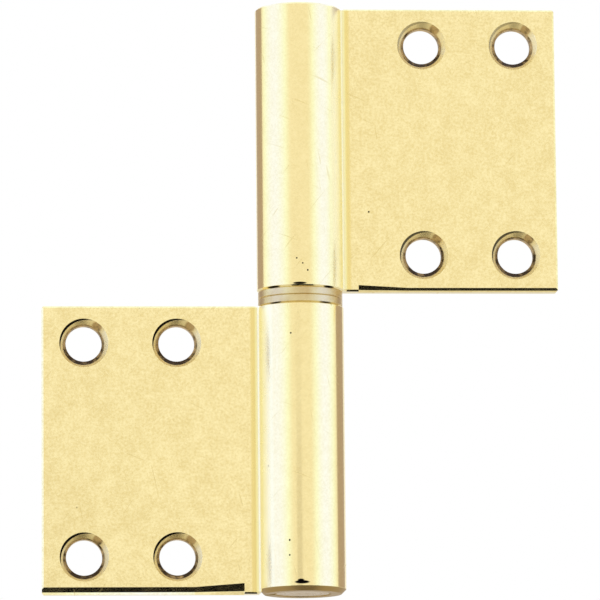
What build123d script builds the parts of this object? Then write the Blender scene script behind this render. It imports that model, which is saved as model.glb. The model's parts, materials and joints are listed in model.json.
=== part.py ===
"""Lift-off flag hinge in brass: two rolled sheet leaves, a fixed pin, two washers and a bore plug.

Millimetres. +Z runs up the pin, the leaves lie open in the XZ plane and the countersunk front
looks along -Y. The origin is on the pin axis, halfway up the open hinge.
"""

from build123d import *
from math import asin, atan2, cos, pi, sin, sqrt
import os

# Leaves: each is one rectangular piece of sheet with its inner edge rolled into a knuckle
leaf_height = 49.5  # along the pin, the knuckle is as tall as its leaf
leaf_reach = 44.45  # pin axis to the leaf's free edge
sheet_thickness = 2.8
bore_radius = 4.65  # inside of the rolled knuckle
bend_radius = 1.2  # small hollow bend where the flat leaf turns into the knuckle
seam_gap = 0.3  # from the rolled end's outer corner to the plane of the leaf's back
edge_break = 0.3  # the sheet's cut edges are broken by this much

# The shear rolls each leaf's lower front corner over, most next to the bend. The corner is a
# 45 degree slope of this height, and a flatter foot runs from it to the bottom edge
upper_roll = 0.42
upper_roll_at_bend = 0.75
lower_roll = 0.8
lower_roll_at_bend = 1.25
roll_foot_height = 0.45  # share of the slope's height
roll_foot_depth = 0.9
roll_growth_reach = 18.5  # pin axis to where the roll starts to grow
roll_end_reach = 10.0  # pin axis to where it stops, just outside the bend

# Screw holes: two columns and two rows in each leaf, countersunk from the front
hole_radius = 3.1
countersink_radius = 4.2
countersink_angle = 90
hole_pitch = 15.9  # between the two columns
column_margin = 7.2  # outer column to the leaf's free edge
row_margin = 6.35  # each row to the leaf's top or bottom edge

# Pin: pressed into the lower knuckle, running in the upper one
running_clearance = 0.05  # radial, pin in the upper knuckle
pin_recess = 0.1  # the pin's lower end lies this far inside the lower knuckle's end
pin_foot_chamfer = 0.15
pin_tip_chamfer = 1.0
knuckle_chamfer = 0.8  # turned on the lower knuckle's lower rim

# Washers between the knuckles, loose on the pin
washer_thickness = 1.3
washer_inset = 0.2  # the washers are this much smaller in radius than the knuckles
washer_bore_clearance = 0.1
washer_edge_break = 0.12

# Plug that closes the top of the upper knuckle
plug_length = 5.0
plug_recess = 0.1
plug_chamfer = 0.2
tip_gap = 1.5  # between the pin's tip and the plug, so that the washers carry the load

# Sizes that follow from the ones above
half_sheet = sheet_thickness / 2
knuckle_radius = bore_radius + sheet_thickness
pin_radius = bore_radius - running_clearance
leaf_base = washer_thickness  # height of the upper leaf's lower edge over the origin
leaf_top = leaf_base + leaf_height
knuckle_end = leaf_top - knuckle_chamfer
plug_top = leaf_top - plug_recess
pin_tip = plug_top - plug_length - tip_gap
pin_foot = -leaf_top + pin_recess
bend_depth = half_sheet + bend_radius
bend_reach = sqrt((knuckle_radius + bend_radius) ** 2 - bend_depth**2)
bend_angle = atan2(bend_depth, bend_reach)
seam_angle = asin((half_sheet + seam_gap) / knuckle_radius)
column_centre = leaf_reach - column_margin - hole_pitch / 2
row_pitch = leaf_height - 2 * row_margin
row_centre = leaf_base + leaf_height / 2

os.makedirs("parts", exist_ok=True)


def rolled_section(side, base):
    """Section across the pin at height base: flat leaf towards side * X, rolled over the front."""

    def polar(radius, angle):
        return (side * radius * cos(angle), radius * sin(angle))

    def around_bend(radius, angle):
        return (side * (bend_reach - radius * sin(angle)), -bend_depth + radius * cos(angle))

    outer_start = polar(knuckle_radius, -bend_angle)
    outer_end = polar(knuckle_radius, seam_angle)
    inner_start = polar(bore_radius, -bend_angle)
    inner_end = polar(bore_radius, seam_angle)
    front_corner = (side * leaf_reach, -half_sheet)
    back_corner = (side * leaf_reach, half_sheet)
    front_bend = (side * bend_reach, -half_sheet)
    back_bend = (side * bend_reach, half_sheet)
    far_angle = pi + (seam_angle - bend_angle) / 2
    bend_middle = (pi / 2 - bend_angle) / 2
    back_bend_radius = bend_radius + sheet_thickness
    with BuildSketch(Plane.XY.offset(base)) as section:
        with BuildLine():
            Line(front_corner, front_bend)
            ThreePointArc(front_bend, around_bend(bend_radius, bend_middle), outer_start)
            ThreePointArc(outer_start, polar(knuckle_radius, far_angle), outer_end)
            Line(outer_end, inner_end)
            ThreePointArc(inner_end, polar(bore_radius, far_angle), inner_start)
            ThreePointArc(inner_start, around_bend(back_bend_radius, bend_middle), back_bend)
            Line(back_bend, back_corner)
            Line(back_corner, front_corner)
        make_face()
    return section.sketch


def cut_screw_holes(side):
    """Four countersunk holes, cut from the front face of the leaf in the current part."""
    pattern_centre = (side * column_centre, -half_sheet, side * row_centre)
    with Locations(Plane(origin=pattern_centre, x_dir=(1, 0, 0), z_dir=(0, -1, 0))):
        with GridLocations(hole_pitch, row_pitch, 2, 2):
            CounterSinkHole(
                radius=hole_radius,
                counter_sink_radius=countersink_radius,
                depth=sheet_thickness,
                counter_sink_angle=countersink_angle,
            )


def corner_section(side, base, reach, roll):
    """Section across the leaf of what its rolled-over lower front corner lacks."""
    foot_height = roll_foot_height * roll
    foot_depth = roll_foot_depth * roll
    corner = Plane(origin=(side * reach, -half_sheet, base), x_dir=(0, 1, 0), z_dir=(1, 0, 0))
    with BuildSketch(corner) as section:
        with BuildLine():
            Polyline(
                (0, 0),
                (0, foot_height + roll),
                (roll, foot_height),
                (roll + foot_depth, 0),
                close=True,
            )
        make_face()
    return section.sketch.face()


def roll_lower_corner(side, base, roll, roll_at_bend):
    """Rolls over the lower front corner of the leaf in the current part."""
    stations = ((leaf_reach, roll), (roll_growth_reach, roll), (roll_end_reach, roll_at_bend))
    sections = [corner_section(side, base, reach, size) for reach, size in stations]
    loft(sections, ruled=True, mode=Mode.SUBTRACT)


def sheet_edges(part):
    """The cut edges of the rolled sheet: both ends of the section and the leaf's free edge."""
    ends = part.faces().filter_by(Axis.Z)
    end_edges = ends.sort_by(Axis.Z)[0].edges() + ends.sort_by(Axis.Z)[-1].edges()
    free_face = part.faces().filter_by(Axis.X).sort_by(lambda face: abs(face.center().X))[-1]
    return end_edges, free_face.edges().filter_by(Axis.Z)


with BuildPart() as upper_leaf:
    extrude(rolled_section(1, leaf_base), amount=leaf_height)
    end_edges, free_edges = sheet_edges(upper_leaf)
    chamfer(end_edges + free_edges, edge_break)
    roll_lower_corner(1, leaf_base, upper_roll, upper_roll_at_bend)
    cut_screw_holes(1)
upper_leaf.part.label = "upper_leaf"
export_step(upper_leaf.part, "parts/upper_leaf.step")

# The lower leaf is the same blank turned upside down, with its end rim turned after assembly
with BuildPart() as lower_leaf:
    extrude(rolled_section(-1, -leaf_top), amount=leaf_height)
    end_edges, free_edges = sheet_edges(lower_leaf)
    chamfer(end_edges + free_edges, edge_break)
    roll_lower_corner(-1, -leaf_top, lower_roll, lower_roll_at_bend)
    cut_screw_holes(-1)
    with BuildSketch(Plane.XZ):
        with BuildLine():
            Polyline(
                (knuckle_radius - knuckle_chamfer, -leaf_top),
                (knuckle_radius, -leaf_top),
                (knuckle_radius, -knuckle_end),
                close=True,
            )
        make_face()
    revolve(axis=Axis.Z, mode=Mode.SUBTRACT)
lower_leaf.part.label = "lower_leaf"
export_step(lower_leaf.part, "parts/lower_leaf.step")

with BuildPart() as hinge_pin:
    with BuildSketch(Plane.XZ):
        with BuildLine():
            Polyline(
                (0, pin_foot),
                (bore_radius - pin_foot_chamfer, pin_foot),
                (bore_radius, pin_foot + pin_foot_chamfer),
                (bore_radius, -leaf_base),
                (pin_radius, -leaf_base),
                (pin_radius, pin_tip - pin_tip_chamfer),
                (pin_radius - pin_tip_chamfer, pin_tip),
                (0, pin_tip),
                close=True,
            )
        make_face()
    revolve(axis=Axis.Z)
hinge_pin.part.label = "hinge_pin"
export_step(hinge_pin.part, "parts/hinge_pin.step")

for washer_name, washer_base in (("lower_washer", -washer_thickness), ("upper_washer", 0)):
    with BuildPart() as washer:
        with BuildSketch(Plane.XY.offset(washer_base)):
            Circle(knuckle_radius - washer_inset)
            Circle(pin_radius + washer_bore_clearance, mode=Mode.SUBTRACT)
        extrude(amount=washer_thickness)
        outer_edges = washer.edges().filter_by(GeomType.CIRCLE).sort_by(lambda edge: edge.radius)[-2:]
        chamfer(outer_edges, washer_edge_break)
    washer.part.label = washer_name
    export_step(washer.part, "parts/" + washer_name + ".step")

with BuildPart() as top_plug:
    with BuildSketch(Plane.XY.offset(plug_top - plug_length)):
        Circle(bore_radius)
    extrude(amount=plug_length)
    chamfer(top_plug.edges().filter_by(GeomType.CIRCLE), plug_chamfer)
top_plug.part.label = "top_plug"
export_step(top_plug.part, "parts/top_plug.step")
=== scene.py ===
"""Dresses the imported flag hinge: lacquered brass leaves, turned pin and plug, satin bronze washers.

Metres, in the frame of the CAD: +Z up the pin, the countersunk front towards -Y.
"""

import json
from math import pi, radians

import bpy
from mathutils import Matrix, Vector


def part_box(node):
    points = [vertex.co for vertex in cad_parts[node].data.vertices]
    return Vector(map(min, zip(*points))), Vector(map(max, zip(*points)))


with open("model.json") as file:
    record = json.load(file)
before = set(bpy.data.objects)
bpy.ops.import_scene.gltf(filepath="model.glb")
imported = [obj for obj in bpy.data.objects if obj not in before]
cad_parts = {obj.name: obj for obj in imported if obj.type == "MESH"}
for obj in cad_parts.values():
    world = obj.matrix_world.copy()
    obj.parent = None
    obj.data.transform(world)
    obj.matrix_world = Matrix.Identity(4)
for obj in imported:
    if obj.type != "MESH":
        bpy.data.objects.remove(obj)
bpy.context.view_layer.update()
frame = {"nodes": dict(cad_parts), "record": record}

MM = 0.001

scene = bpy.context.scene
scene.view_settings.view_transform = "Standard"

# The screw holes, and the sheet and its knuckle, from the frame's mounts and boxes
mounts = {mount["name"]: mount for mount in frame["record"]["mounts"]}
screws = mounts["upper_screws"]
column_centre = screws["pos_m"][0]
row_centre = screws["pos_m"][2]
hole_pitch = screws["dims"]["spacing_x_mm"] * MM
row_pitch = screws["dims"]["spacing_y_mm"] * MM
top_row = row_centre + row_pitch / 2
half_sheet = mounts["upper_back"]["pos_m"][1]
knuckle_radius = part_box("upper_leaf")[1].y

# The countersink and the marks in it. A middle says how far right of the hole's axis and above it
# the mark lies
countersink_radius = 4.2 * MM
stain_radius = 3.5 * MM
stain_fade = 0.12 * MM
stain_middle = (-0.05 * MM, 0, -0.25 * MM)
stain_run = 0.12  # added to the stain's pattern at the ring's bottom, and taken off at its top
patch_radius = 0.7 * MM
patch_fade = 0.3 * MM
patch_middle = (2.3 * MM, 0, 2.9 * MM)
# The painted shadow line along each countersink's edge: its round and the middle it is measured from
edge_shadow_radius = 4.45 * MM
edge_shadow_fade = 0.08 * MM
edge_shadow_middle = (0.5 * MM, 0, -0.5 * MM)
face_gap = 0.005 * MM  # the bare metal starts this far below the leaf's faces
face_fade = 0.04 * MM

# The hollow bend between knuckle and leaf, with painted shade in it, and the corner round it that no
# buffing wheel reaches, which is duller and carries a painted pale sheen.
# Starts and ends are measured from the pin's axis towards the leaf, back and front along Y
bend_radius = 1.2 * MM
bend_fade = 0.15 * MM
bend_middle = (8.25 * MM, -2.6 * MM, 0)
bend_start = 7.3 * MM
bend_full = 7.6 * MM
corner_start = 5.0 * MM
corner_full = 6.0 * MM
corner_end = 7.9 * MM
corner_back = -0.9 * MM
corner_front = -1.2 * MM

# The knuckle: its burnish fades over the bend, and its end faces and bore lie inside this skin
burnish_strength = 0.65
burnish_fade = 0.8 * MM
skin = 0.06 * MM
edge_fade = 0.02 * MM

# Hairline scuffs: the stretch of their noise, and the heights its crests are cut between
scuff_length = 9 * MM
scuff_width = 0.5 * MM
crest_start = 0.73
crest_full = 0.80

# The chamfers turned on the fixed knuckle's end and on the pin's foot
end_chamfer = 0.8 * MM
foot_chamfer = 0.15 * MM
rim_fade = 0.05 * MM
end_rim_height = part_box("lower_leaf")[0].z + end_chamfer
pin_foot_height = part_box("hinge_pin")[0].z + foot_chamfer


# Small helpers

def linear(hex_colour):
    """An sRGB hex colour as linear RGBA, which is what the nodes take."""
    shares = [int(hex_colour[i:i + 2], 16) / 255 for i in (1, 3, 5)]
    return [s / 12.92 if s <= 0.04045 else ((s + 0.055) / 1.055) ** 2.4 for s in shares] + [1.0]


def add_node(tree, kind, settings, inputs):
    """Adds a node with these settings, and gives each input a value or another node's output."""
    node = tree.nodes.new(kind)
    for name, value in settings.items():
        setattr(node, name, value)
    for name, value in inputs.items():
        if isinstance(value, bpy.types.NodeSocket):
            tree.links.new(value, node.inputs[name])
        else:
            node.inputs[name].default_value = value
    return node


def per_metre(size_in_mm):
    """Texture scale that gives a pattern of about this size."""
    return 1 / (size_in_mm * MM)


def new_material(name):
    """A material with an empty node tree."""
    material = bpy.data.materials.new(name)
    material.use_nodes = True
    tree = material.node_tree
    tree.nodes.clear()
    return material, tree


# Materials

def from_nearest_hole(tree, place):
    """How far right of and above the axis of the nearest screw hole. Folding X and Z brings all
    eight holes onto one."""
    folded = add_node(
        tree, "ShaderNodeVectorMath", {"operation": "ABSOLUTE"}, {0: place},
    ).outputs["Vector"]
    from_leaf_middle = add_node(
        tree, "ShaderNodeVectorMath", {"operation": "SUBTRACT"},
        {0: folded, 1: (column_centre, 0, row_centre)},
    ).outputs["Vector"]
    quarter = add_node(
        tree, "ShaderNodeVectorMath", {"operation": "ABSOLUTE"}, {0: from_leaf_middle},
    ).outputs["Vector"]
    from_axis = add_node(
        tree, "ShaderNodeVectorMath", {"operation": "SUBTRACT"},
        {0: quarter, 1: (hole_pitch / 2, 0, row_pitch / 2)},
    ).outputs["Vector"]
    flat = add_node(
        tree, "ShaderNodeVectorMath", {"operation": "MULTIPLY"}, {0: from_axis, 1: (1, 0, 1)},
    ).outputs["Vector"]

    # The fold mirrors some holes, and the signs of this product tell which way
    product = add_node(
        tree, "ShaderNodeVectorMath", {"operation": "MULTIPLY"}, {0: place, 1: from_leaf_middle},
    ).outputs["Vector"]
    way = add_node(
        tree, "ShaderNodeVectorMath", {"operation": "SIGN"}, {0: product},
    ).outputs["Vector"]
    return add_node(
        tree, "ShaderNodeVectorMath", {"operation": "MULTIPLY"}, {0: flat, 1: way},
    ).outputs["Vector"]


def screw_hole_zones(tree, place, from_hole):
    """The bare metal inside each screw hole, its stained ring and patch, and a painted shadow line
    along the countersink's edge. The marks lie off the hole's axis; the stain and patch lie where the
    cutter and the screw have pressed."""
    rounds = []
    for middle, outside, inside in (
        ((0, 0, 0), countersink_radius + edge_fade, countersink_radius - edge_fade),
        (stain_middle, stain_radius + stain_fade, stain_radius),
        (patch_middle, patch_radius + patch_fade, patch_radius),
        (edge_shadow_middle, edge_shadow_radius, edge_shadow_radius + edge_shadow_fade),
    ):
        distance = add_node(
            tree, "ShaderNodeVectorMath", {"operation": "DISTANCE"}, {0: from_hole, 1: middle},
        ).outputs["Value"]
        rounds.append(add_node(
            tree, "ShaderNodeMapRange", {},
            {"Value": distance, "From Min": outside, "From Max": inside},
        ).outputs["Result"])
    round_hole, round_stain, round_patch, beyond_shadow_edge = rounds

    # Only between the leaf's faces, so that the back stays clean round each hole
    parts = add_node(tree, "ShaderNodeSeparateXYZ", {}, {"Vector": place})
    from_mid_sheet = add_node(
        tree, "ShaderNodeMath", {"operation": "ABSOLUTE"}, {0: parts.outputs["Y"]},
    ).outputs["Value"]
    between_faces = add_node(
        tree, "ShaderNodeMapRange", {},
        {"Value": from_mid_sheet, "From Min": half_sheet - face_gap,
         "From Max": half_sheet - face_fade},
    ).outputs["Result"]
    bare = add_node(
        tree, "ShaderNodeMath", {"operation": "MULTIPLY"}, {0: round_hole, 1: between_faces},
    ).outputs["Value"]
    ring_and_patch = add_node(
        tree, "ShaderNodeMath", {"operation": "MAXIMUM"}, {0: round_stain, 1: round_patch},
    ).outputs["Value"]
    stained = add_node(
        tree, "ShaderNodeMath", {"operation": "MULTIPLY"}, {0: bare, 1: ring_and_patch},
    ).outputs["Value"]

    # The painted edge shadow is lighter on the upper leaf, most of all in its top row
    edge_shadow_line = add_node(
        tree, "ShaderNodeMath", {"operation": "MULTIPLY"}, {0: bare, 1: beyond_shadow_edge},
    ).outputs["Value"]
    edge_shadow_share = add_node(
        tree, "ShaderNodeMapRange", {},
        {"Value": parts.outputs["Z"], "From Min": top_row, "From Max": 0,
         "To Min": 0.4, "To Max": 1.0},
    ).outputs["Result"]
    painted_edge_shadow = add_node(
        tree, "ShaderNodeMath", {"operation": "MULTIPLY"}, {0: edge_shadow_line, 1: edge_shadow_share},
    ).outputs["Value"]
    return bare, stained, painted_edge_shadow


def knuckle_zones(tree, place):
    """The rolled knuckle, its corner next to the leaf with a painted pale sheen, the bend that joins
    it to the leaf with painted shade, and the turned lower end of the fixed knuckle."""
    across_pin = add_node(
        tree, "ShaderNodeVectorMath", {"operation": "MULTIPLY"}, {0: place, 1: (1, 1, 0)},
    ).outputs["Vector"]
    from_pin = add_node(
        tree, "ShaderNodeVectorMath", {"operation": "LENGTH"}, {0: across_pin},
    ).outputs["Value"]
    knuckle = add_node(
        tree, "ShaderNodeMapRange", {},
        {"Value": from_pin, "From Min": knuckle_radius + burnish_fade, "From Max": knuckle_radius},
    ).outputs["Result"]

    # The upper leaf goes to +X and the lower leaf to -X
    parts = add_node(tree, "ShaderNodeSeparateXYZ", {}, {"Vector": place})
    leaf_side = add_node(
        tree, "ShaderNodeMath", {"operation": "SIGN"}, {0: parts.outputs["Z"]},
    ).outputs["Value"]
    outwards = add_node(
        tree, "ShaderNodeMath", {"operation": "MULTIPLY"}, {0: parts.outputs["X"], 1: leaf_side},
    ).outputs["Value"]
    on_one_side = add_node(
        tree, "ShaderNodeCombineXYZ", {}, {"X": outwards, "Y": parts.outputs["Y"]},
    ).outputs["Vector"]
    # Painted shade in the hollow bend between knuckle and leaf
    from_bend = add_node(
        tree, "ShaderNodeVectorMath", {"operation": "DISTANCE"}, {0: on_one_side, 1: bend_middle},
    ).outputs["Value"]
    round_bend = add_node(
        tree, "ShaderNodeMapRange", {},
        {"Value": from_bend, "From Min": bend_radius + bend_fade,
         "From Max": bend_radius + edge_fade},
    ).outputs["Result"]
    beyond_knuckle = add_node(
        tree, "ShaderNodeMapRange", {},
        {"Value": outwards, "From Min": bend_start, "From Max": bend_full},
    ).outputs["Result"]
    bend_painted_shade = add_node(
        tree, "ShaderNodeMath", {"operation": "MULTIPLY"}, {0: round_bend, 1: beyond_knuckle},
    ).outputs["Value"]

    # The corner's painted pale sheen fades in on the knuckle, ends in the bend, and leaves out the
    # back and end faces
    corner_painted_sheen = 1.0
    for value, outside, inside in (
        (outwards, corner_start, corner_full),
        (outwards, corner_end, bend_full),
        (parts.outputs["Y"], corner_back, corner_front),
        (from_pin, knuckle_radius - skin, knuckle_radius - edge_fade),
    ):
        limit = add_node(
            tree, "ShaderNodeMapRange", {},
            {"Value": value, "From Min": outside, "From Max": inside},
        ).outputs["Result"]
        corner_painted_sheen = add_node(
            tree, "ShaderNodeMath", {"operation": "MULTIPLY"}, {0: limit, 1: corner_painted_sheen},
        ).outputs["Value"]

    below_rim = add_node(
        tree, "ShaderNodeMapRange", {},
        {"Value": parts.outputs["Z"], "From Min": end_rim_height + rim_fade,
         "From Max": end_rim_height},
    ).outputs["Result"]
    inside_knuckle = add_node(
        tree, "ShaderNodeMapRange", {},
        {"Value": from_pin, "From Min": knuckle_radius - edge_fade,
         "From Max": knuckle_radius - skin},
    ).outputs["Result"]
    turned_end = add_node(
        tree, "ShaderNodeMath", {"operation": "MULTIPLY"}, {0: below_rim, 1: inside_knuckle},
    ).outputs["Value"]
    return knuckle, corner_painted_sheen, bend_painted_shade, turned_end


# Dark marks on the leaves, real dents and painted shadows, in mm: middle and half size
dents_and_painted_shadows = (
    # Dark dashes just above each knuckle's lower end
    ((-0.51, -7.4, 1.80), (1.20, 1.0, 0.22)),
    ((-0.55, -7.4, -49.42), (1.30, 1.0, 0.30)),
    ((-0.75, -7.4, -49.15), (0.60, 1.0, 0.30)),
    # Painted shadows in the gaps between the washers and the knuckles
    ((-4.95, -5.60, 1.43), (1.25, 2.0, 0.15)),
    ((4.60, -5.80, 1.43), (1.10, 2.0, 0.15)),
    ((-4.65, -5.80, -1.40), (1.10, 2.0, 0.12)),
    ((4.05, -6.20, -1.40), (1.25, 2.0, 0.12)),
    # Small dents that have gone dark
    ((-0.99, -7.4, 6.12), (0.16, 1.0, 0.14)),
    ((0.03, -7.4, 5.24), (0.14, 1.0, 0.13)),
    ((0.88, -7.4, 4.04), (0.15, 1.0, 0.17)),
    ((-2.11, -7.1, -6.80), (0.15, 1.0, 0.15)),
    ((-2.58, -7.0, -42.25), (0.14, 1.0, 0.20)),
    ((-2.60, -7.0, -44.80), (0.15, 1.0, 0.15)),
    ((11.88, -1.4, 15.16), (0.16, 0.3, 0.16)),
)


def dents_and_painted_shadow_zone(tree, place):
    """The listed dark marks, real dents and painted shadows, soft at the rim: full within 0.8 of the
    half size, gone at 1.1.
    """
    marks = 0.0
    for middle, half_size in dents_and_painted_shadows:
        into_mark = add_node(
            tree, "ShaderNodeMapping", {"vector_type": "TEXTURE"},
            {"Vector": place, "Location": [share * MM for share in middle],
             "Scale": [share * MM for share in half_size]},
        ).outputs["Vector"]
        reach = add_node(
            tree, "ShaderNodeVectorMath", {"operation": "LENGTH"}, {0: into_mark},
        ).outputs["Value"]
        mark = add_node(
            tree, "ShaderNodeMapRange", {}, {"Value": reach, "From Min": 1.1, "From Max": 0.8},
        ).outputs["Result"]
        marks = add_node(
            tree, "ShaderNodeMath", {"operation": "MAXIMUM"}, {0: mark, 1: marks},
        ).outputs["Value"]
    return marks


def hairline_scuffs(tree, place):
    """Thin, slightly bent lines along three slanting directions, from a drawn-out noise cut to its
    crests. Each direction takes its noise from another place, in mm sideways."""
    scuffs = 0.0
    for turn, sideways in ((24, 0), (-50, 30), (78, 60)):
        drawn_out = add_node(
            tree, "ShaderNodeMapping", {"vector_type": "TEXTURE"},
            {"Vector": place, "Rotation": (0, radians(turn), 0),
             "Location": (sideways * MM, 0, 0), "Scale": (scuff_length, scuff_length, scuff_width)},
        ).outputs["Vector"]
        crests = add_node(
            tree, "ShaderNodeTexNoise", {},
            {"Vector": drawn_out, "Scale": 1.0, "Detail": 1.0, "Roughness": 0.5, "Distortion": 0.4},
        ).outputs["Fac"]
        lines = add_node(
            tree, "ShaderNodeMapRange", {},
            {"Value": crests, "From Min": crest_start, "From Max": crest_full},
        ).outputs["Result"]
        scuffs = add_node(
            tree, "ShaderNodeMath", {"operation": "MAXIMUM"}, {0: lines, 1: scuffs},
        ).outputs["Value"]
    return scuffs


def lacquered_brass():
    """Rolled 70/30 brass sheet, buffed and lacquered. The buffing leaves it nearly a mirror, with a
    soft mottle and faint waves from the rolling. Handling adds hairline scuffs, a few pits and dark
    dents, and there are painted shadows in the gaps at the washers. The rolling tool has burnished
    the knuckles smoother. The buffing wheel doesn't reach into the corners between knuckle and leaf,
    which are duller and carry a painted pale sheen, with painted shade darker yellow in the bend. The
    countersinks and the turned end are bare metal, which is duller, and stained brown where screws
    have sat, with a painted shadow line along each countersink's edge."""
    material, tree = new_material("lacquered_buffed_brass_sheet")
    place = add_node(tree, "ShaderNodeTexCoord", {}, {}).outputs["Object"]
    from_hole = from_nearest_hole(tree, place)
    bare, stained, painted_edge_shadow = screw_hole_zones(tree, place, from_hole)
    knuckle, corner_painted_sheen, bend_painted_shade, turned_end = knuckle_zones(tree, place)

    # Waves of the sheet, buffing mottle, and the finer grain under the lacquer
    waves = add_node(
        tree, "ShaderNodeTexNoise", {},
        {"Vector": place, "Scale": per_metre(7), "Detail": 2, "Roughness": 0.5},
    ).outputs["Fac"]
    mottle = add_node(
        tree, "ShaderNodeTexNoise", {},
        {"Vector": place, "Scale": per_metre(2.2), "Detail": 4, "Roughness": 0.6},
    ).outputs["Fac"]
    grain = add_node(
        tree, "ShaderNodeTexNoise", {},
        {"Vector": place, "Scale": per_metre(0.45), "Detail": 2, "Roughness": 0.6},
    ).outputs["Fac"]
    buffing = add_node(
        tree, "ShaderNodeMix", {"data_type": "FLOAT"}, {"Factor": 0.62, "A": mottle, "B": grain},
    ).outputs["Result"]
    burnishing = add_node(
        tree, "ShaderNodeMath", {"operation": "MULTIPLY"}, {0: knuckle, 1: burnish_strength},
    ).outputs["Value"]
    burnished = add_node(
        tree, "ShaderNodeMix", {"data_type": "FLOAT"},
        {"Factor": burnishing, "A": buffing, "B": 0.5},
    ).outputs["Result"]
    buffing_share = add_node(
        tree, "ShaderNodeMapRange", {}, {"Value": burnished, "From Min": 0.38, "From Max": 0.62},
    ).outputs["Result"]
    clean = add_node(
        tree, "ShaderNodeMix", {"data_type": "RGBA"},
        {"Factor": buffing_share, "A": linear("#FFEEB2"), "B": linear("#EFDA98")},
    ).outputs["Result"]

    # Pits: the middles of some cells of a coarse cell pattern
    cells = add_node(
        tree, "ShaderNodeTexVoronoi", {},
        {"Vector": place, "Scale": per_metre(5.5), "Randomness": 1.0},
    )
    cell_middle = add_node(
        tree, "ShaderNodeMapRange", {},
        {"Value": cells.outputs["Distance"], "From Min": 0.04, "From Max": 0.01},
    ).outputs["Result"]
    lot = add_node(
        tree, "ShaderNodeSeparateColor", {}, {"Color": cells.outputs["Color"]},
    ).outputs["Red"]
    chosen = add_node(
        tree, "ShaderNodeMapRange", {},
        {"Value": lot, "From Min": 0.80, "From Max": 0.82, "To Max": 0.5},
    ).outputs["Result"]
    pits = add_node(
        tree, "ShaderNodeMath", {"operation": "MULTIPLY"}, {0: cell_middle, 1: chosen},
    ).outputs["Value"]

    # The stain has run down: palest at the top of each hole, darkest at its bottom
    above_axis = add_node(tree, "ShaderNodeSeparateXYZ", {}, {"Vector": from_hole}).outputs["Z"]
    patches = add_node(
        tree, "ShaderNodeTexNoise", {},
        {"Vector": place, "Scale": per_metre(1.4), "Detail": 4, "Roughness": 0.6},
    ).outputs["Fac"]
    stain_depth = add_node(
        tree, "ShaderNodeMath", {"operation": "MULTIPLY_ADD"},
        {0: above_axis, 1: -stain_run / stain_radius, 2: patches},
    ).outputs["Value"]
    stain_share = add_node(
        tree, "ShaderNodeMapRange", {}, {"Value": stain_depth, "From Min": 0.38, "From Max": 0.62},
    ).outputs["Result"]
    stain = add_node(
        tree, "ShaderNodeMix", {"data_type": "RGBA"},
        {"Factor": stain_share, "A": linear("#CFAF70"), "B": linear("#4A3A20")},
    ).outputs["Result"]

    # Each zone lays its own colour over those before it, and adds to the roughness
    scuffs = hairline_scuffs(tree, place)
    faint_scuffs = add_node(
        tree, "ShaderNodeMath", {"operation": "MULTIPLY"}, {0: scuffs, 1: 0.6},
    ).outputs["Value"]
    colour = clean
    roughness = add_node(
        tree, "ShaderNodeMapRange", {},
        {"Value": mottle, "From Min": 0.3, "From Max": 0.7, "To Min": 0.11, "To Max": 0.17},
    ).outputs["Result"]
    for share, over, dulling in (
        (faint_scuffs, linear("#E3CB84"), 0.25),
        # painted pale sheen in the corner, on top of its duller finish
        (corner_painted_sheen, linear("#FFF5CA"), 0.15),
        # painted shade in the bend
        (bend_painted_shade, linear("#F2DB8C"), 0.15),
        (pits, linear("#6B5530"), 0.3),
        # dark marks: real dents, dark dashes at the knuckle ends, and painted shadows at the washers
        (dents_and_painted_shadow_zone(tree, place), linear("#0C0806"), 0.4),
        (bare, linear("#FBE6A2"), 0.2),
        (stained, stain, 0.1),
        # painted shadow line along each countersink's edge
        (painted_edge_shadow, linear("#17110A"), 0.3),
        (turned_end, linear("#AD8F56"), 0.25),
    ):
        colour = add_node(
            tree, "ShaderNodeMix", {"data_type": "RGBA"},
            {"Factor": share, "A": colour, "B": over},
        ).outputs["Result"]
        roughness = add_node(
            tree, "ShaderNodeMath", {"operation": "MULTIPLY_ADD"},
            {0: share, 1: dulling, 2: roughness},
        ).outputs["Value"]

    waved = add_node(
        tree, "ShaderNodeBump", {}, {"Height": waves, "Strength": 1.0, "Distance": 0.012 * MM},
    ).outputs["Normal"]
    sunk = add_node(
        tree, "ShaderNodeMath", {"operation": "MULTIPLY_ADD"}, {0: scuffs, 1: 0.2, 2: pits},
    ).outputs["Value"]
    worn = add_node(
        tree, "ShaderNodeBump", {"invert": True},
        {"Height": sunk, "Normal": waved, "Strength": 0.5, "Distance": 0.03 * MM},
    ).outputs["Normal"]
    shader = add_node(
        tree, "ShaderNodeBsdfPrincipled", {},
        {"Base Color": colour, "Metallic": 1.0, "Roughness": roughness, "Normal": worn},
    )
    add_node(tree, "ShaderNodeOutputMaterial", {}, {"Surface": shader.outputs["BSDF"]})
    return material


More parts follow.
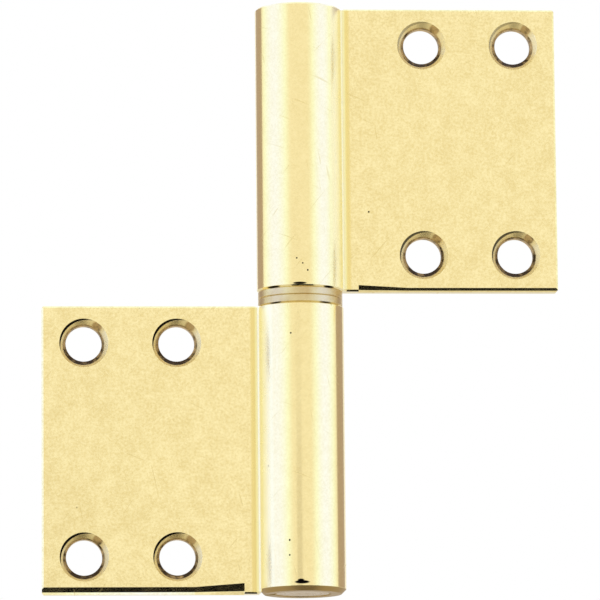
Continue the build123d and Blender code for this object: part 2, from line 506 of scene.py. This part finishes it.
def turned_brass():
    """Free-cutting brass, turned on a lathe: rings from the tool run round the axis and dull it a
    little. The pin's foot is parted off and has gone brown."""
    material, tree = new_material("turned_free_cutting_brass")
    place = add_node(tree, "ShaderNodeTexCoord", {}, {}).outputs["Object"]
    height = add_node(tree, "ShaderNodeSeparateXYZ", {}, {"Vector": place}).outputs["Z"]
    across_pin = add_node(
        tree, "ShaderNodeVectorMath", {"operation": "MULTIPLY"}, {0: place, 1: (1, 1, 0)},
    ).outputs["Vector"]
    from_axis = add_node(
        tree, "ShaderNodeVectorMath", {"operation": "LENGTH"}, {0: across_pin},
    ).outputs["Value"]
    lathe_place = add_node(
        tree, "ShaderNodeCombineXYZ", {}, {"X": from_axis, "Z": height},
    ).outputs["Vector"]
    # The tool's feed is finer than this, and is drawn 0.4 mm coarse so that it shows
    rings = add_node(
        tree, "ShaderNodeTexNoise", {},
        {"Vector": lathe_place, "Scale": per_metre(0.4), "Detail": 2},
    ).outputs["Fac"]
    patches = add_node(
        tree, "ShaderNodeTexNoise", {}, {"Vector": place, "Scale": per_metre(3.5), "Detail": 3},
    ).outputs["Fac"]
    patch_share = add_node(
        tree, "ShaderNodeMapRange", {}, {"Value": patches, "From Min": 0.3, "From Max": 0.7},
    ).outputs["Result"]
    turned = add_node(
        tree, "ShaderNodeMix", {"data_type": "RGBA"},
        {"Factor": patch_share, "A": linear("#E6CF97"), "B": linear("#D6BD82")},
    ).outputs["Result"]
    foot = add_node(
        tree, "ShaderNodeMapRange", {},
        {"Value": height, "From Min": pin_foot_height + edge_fade, "From Max": pin_foot_height},
    ).outputs["Result"]
    colour = add_node(
        tree, "ShaderNodeMix", {"data_type": "RGBA"},
        {"Factor": foot, "A": turned, "B": linear("#B59556")},
    ).outputs["Result"]
    roughness = add_node(
        tree, "ShaderNodeMapRange", {},
        {"Value": rings, "From Min": 0.3, "From Max": 0.7, "To Min": 0.20, "To Max": 0.34},
    ).outputs["Result"]
    grooves = add_node(
        tree, "ShaderNodeBump", {}, {"Height": rings, "Strength": 0.5, "Distance": 0.02 * MM},
    ).outputs["Normal"]
    shader = add_node(
        tree, "ShaderNodeBsdfPrincipled", {},
        {"Base Color": colour, "Metallic": 1.0, "Roughness": roughness, "Normal": grooves},
    )
    add_node(tree, "ShaderNodeOutputMaterial", {}, {"Surface": shader.outputs["BSDF"]})
    return material


def satin_bronze():
    """Bronze strip, stamped and tumbled: an even satin, browner than the polished brass."""
    material, tree = new_material("tumbled_satin_bronze")
    place = add_node(tree, "ShaderNodeTexCoord", {}, {}).outputs["Object"]
    grain = add_node(
        tree, "ShaderNodeTexNoise", {},
        {"Vector": place, "Scale": per_metre(0.5), "Detail": 5, "Roughness": 0.7},
    ).outputs["Fac"]
    tarnish = add_node(
        tree, "ShaderNodeTexNoise", {}, {"Vector": place, "Scale": per_metre(4), "Detail": 3},
    ).outputs["Fac"]
    tarnish_share = add_node(
        tree, "ShaderNodeMapRange", {}, {"Value": tarnish, "From Min": 0.35, "From Max": 0.65},
    ).outputs["Result"]
    colour = add_node(
        tree, "ShaderNodeMix", {"data_type": "RGBA"},
        {"Factor": tarnish_share, "A": linear("#DECA94"), "B": linear("#CDB27C")},
    ).outputs["Result"]
    roughness = add_node(
        tree, "ShaderNodeMapRange", {},
        {"Value": grain, "From Min": 0.3, "From Max": 0.7, "To Min": 0.28, "To Max": 0.38},
    ).outputs["Result"]
    tumbled = add_node(
        tree, "ShaderNodeBump", {}, {"Height": grain, "Strength": 0.4, "Distance": 0.01 * MM},
    ).outputs["Normal"]
    shader = add_node(
        tree, "ShaderNodeBsdfPrincipled", {},
        {"Base Color": colour, "Metallic": 1.0, "Roughness": roughness, "Normal": tumbled},
    )
    add_node(tree, "ShaderNodeOutputMaterial", {}, {"Surface": shader.outputs["BSDF"]})
    return material


finishes = {
    "polished_brass": lacquered_brass(),
    "turned_brass": turned_brass(),
    "washer_bronze": satin_bronze(),
}
for piece in frame["record"]["subparts"]:
    node = frame["nodes"][piece["node"]]
    for material_slot in node.material_slots:
        material_slot.material = finishes[piece["material_slot"]]


# Studio

def white_world():
    """White to the camera and in reflections, a little less as light on the floor."""
    world = bpy.data.worlds.new("white_studio")
    scene.world = world
    world.use_nodes = True
    tree = world.node_tree
    tree.nodes.clear()
    rays = add_node(tree, "ShaderNodeLightPath", {}, {})
    seen = 0.0
    for ray in ("Is Camera Ray", "Is Glossy Ray", "Is Transmission Ray"):
        seen = add_node(
            tree, "ShaderNodeMath", {"operation": "MAXIMUM"}, {0: rays.outputs[ray], 1: seen},
        ).outputs["Value"]
    strength = add_node(
        tree, "ShaderNodeMapRange", {}, {"Value": seen, "To Min": 0.9, "To Max": 1.0},
    ).outputs["Result"]
    background = add_node(
        tree, "ShaderNodeBackground", {}, {"Color": (1, 1, 1, 1), "Strength": strength},
    )
    add_node(tree, "ShaderNodeOutputWorld", {}, {"Surface": background.outputs["Background"]})


def floor_paint():
    """Matt pale paint, a little warmer than the white room."""
    material, tree = new_material("pale_floor_paint")
    shader = add_node(tree, "ShaderNodeBsdfDiffuse", {}, {"Color": linear("#F2F0EC")})
    add_node(tree, "ShaderNodeOutputMaterial", {}, {"Surface": shader.outputs["BSDF"]})
    return material


def card_paint(name, hex_colour):
    """Even brightness of this colour, whatever the light."""
    material, tree = new_material(name)
    shader = add_node(tree, "ShaderNodeEmission", {}, {"Color": linear(hex_colour)})
    add_node(tree, "ShaderNodeOutputMaterial", {}, {"Surface": shader.outputs["Emission"]})
    return material


def soft_box_cloth():
    """Glowing cloth: as bright and white as the room at its sides, brighter and cooler towards its
    middle."""
    material, tree = new_material("soft_box_cloth")
    place = add_node(tree, "ShaderNodeTexCoord", {}, {}).outputs["Object"]
    sideways = add_node(tree, "ShaderNodeSeparateXYZ", {}, {"Vector": place}).outputs["X"]
    from_middle = add_node(
        tree, "ShaderNodeMath", {"operation": "ABSOLUTE"}, {0: sideways},
    ).outputs["Value"]
    glow = add_node(
        tree, "ShaderNodeMapRange", {"interpolation_type": "SMOOTHSTEP"},
        {"Value": from_middle, "From Min": 0.5, "From Max": 0.0},
    ).outputs["Result"]
    channels = {}
    for channel, full_glow, most in (("Red", 0.4, 1.06), ("Green", 0.4, 1.24), ("Blue", 1.0, 2.1)):
        channels[channel] = add_node(
            tree, "ShaderNodeMapRange", {},
            {"Value": glow, "From Max": full_glow, "To Min": 1.0, "To Max": most},
        ).outputs["Result"]
    colour = add_node(tree, "ShaderNodeCombineColor", {}, channels).outputs["Color"]
    shader = add_node(tree, "ShaderNodeEmission", {}, {"Color": colour})
    add_node(tree, "ShaderNodeOutputMaterial", {}, {"Surface": shader.outputs["Emission"]})
    return material


def facing_pin(azimuth, distance, height):
    """Place on a circle round the pin, turned to face it. Azimuth 0 is in front, 90 at +X."""
    turned = Matrix.Rotation(radians(azimuth), 4, "Z")
    return turned @ Matrix.Translation((0, -distance, height)) @ Matrix.Rotation(pi / 2, 4, "X")


def add_card(name, place, width, tall, material):
    """Flat card that only shows in reflections, and neither lights nor shades the floor."""
    bpy.ops.object.select_all(action="DESELECT")
    bpy.ops.mesh.primitive_plane_add(size=1)
    card = bpy.context.active_object
    card.name = name
    card.matrix_world = place @ Matrix.Diagonal((width, tall, 1, 1))
    card.data.materials.append(material)
    card.visible_camera = False
    card.visible_diffuse = False
    card.visible_shadow = False


floor_height = -0.35

# The side soft boxes and the warm cards: how far from the pin, how high, and how tall
box_distance = 0.8
box_height = 0.1
box_tall = 1.1
warm_distance = 0.7
warm_height = 0.105
warm_tall = 0.27

white_world()

bpy.ops.object.select_all(action="DESELECT")
bpy.ops.mesh.primitive_plane_add(size=8, location=(0, 0, floor_height))
floor = bpy.context.active_object
floor.name = "floor"
floor.data.materials.append(floor_paint())

# Two tall soft boxes at the sides give the barrel its pair of bright bands
cloth = soft_box_cloth()
add_card("left_soft_box", facing_pin(-73, box_distance, box_height), 1.9, box_tall, cloth)
add_card("right_soft_box", facing_pin(63, box_distance, box_height), 1.5, box_tall, cloth)

# A third one overhead, well back, lights the broken upper edges
overhead = Matrix.Translation((0, 0.55, 0.8)) @ Matrix.Rotation(pi / 2, 4, "Z")
add_card("overhead_soft_box", overhead, 1.5, 1.1, cloth)

# Warm cards behind the hinge darken the barrel's two edges
warm = card_paint("warm_card", "#B9AAA8")
add_card("left_warm_card", facing_pin(-138, warm_distance, warm_height), 0.50, warm_tall, warm)
add_card("right_warm_card", facing_pin(125, warm_distance, warm_height), 0.52, warm_tall, warm)

# A pale card in front, low down, is what the middle of the fixed knuckle reflects
pale = card_paint("pale_card", "#E4E2DE")
add_card("front_card", facing_pin(-10, 1.0, -0.09), 0.24, 0.40, pale)

# A bright card low behind the hinge is what the foot of the lower leaf's rolled corner reflects
add_card("low_card", Matrix.Translation((-0.022, 0.10, -0.20)), 0.05, 0.12, cloth)

# A black card lying just over the floor is what the leaves' rolled-over lower corners reflect
black = card_paint("black_card", "#0F0E0D")
add_card("black_card", Matrix.Translation((0.02, -0.045, -0.30)), 0.19, 0.10, black)


# Camera: from the front, below and a little to the left, with its angles in radians

camera_place = (-0.0560, -0.9000, -0.1421)
look_up = 0.1563
turn_right = 0.0621
roll = 0.0090

camera = bpy.data.cameras.new("front_camera")
camera.lens = 318.5
camera.sensor_width = 36
camera.clip_start = 0.01
camera.clip_end = 20
viewer = bpy.data.objects.new("front_camera", camera)
scene.collection.objects.link(viewer)
viewer.matrix_world = (
    Matrix.Translation(camera_place)
    @ Matrix.Rotation(-turn_right, 4, "Z")
    @ Matrix.Rotation(pi / 2 + look_up, 4, "X")
    @ Matrix.Rotation(-roll, 4, "Z")
)
scene.camera = viewer
